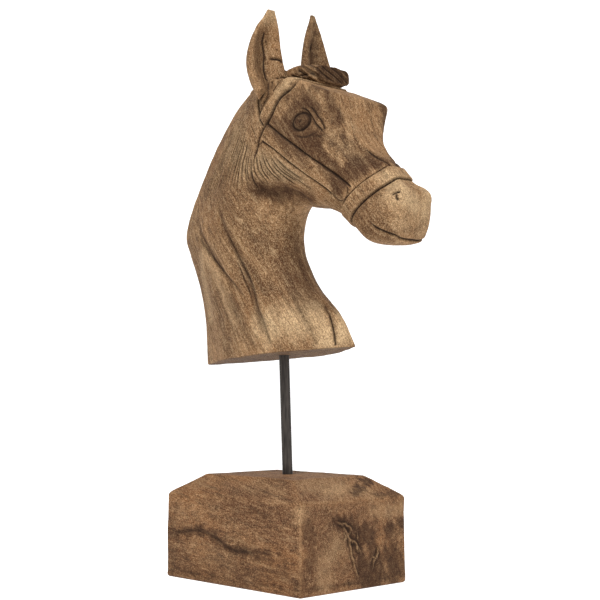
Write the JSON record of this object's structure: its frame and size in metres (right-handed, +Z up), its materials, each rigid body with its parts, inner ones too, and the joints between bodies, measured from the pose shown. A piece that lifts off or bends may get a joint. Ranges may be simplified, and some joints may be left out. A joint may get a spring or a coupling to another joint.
{
  "type": "carved horse head sculpture on a stand",
  "caption": "Carved wooden horse head with a plain bridle, held up by a thin steel rod on a chunky bevelled wooden base.",
  "frame": {"origin": "middle of the base's flat underside", "axes": "+X the way the horse looks, +Y its left side, +Z up"},
  "size_m": [0.2761, 0.1194, 0.4779],
  "materials": {
    "base_wood": "dry sanded driftwood, brown with dark stains, pale scuffed arrises and drying cracks",
    "rod_steel": "bare dark drawn steel with a dull sheen and light rust",
    "head_wood": "dry carved driftwood, mid brown with tan lights, dark grain streaks and knife grooves"
  },
  "bodies": {
    "root": {"base": "base_wood", "rod": "rod_steel", "horse_head": "head_wood"}
  },
  "joints": []
}
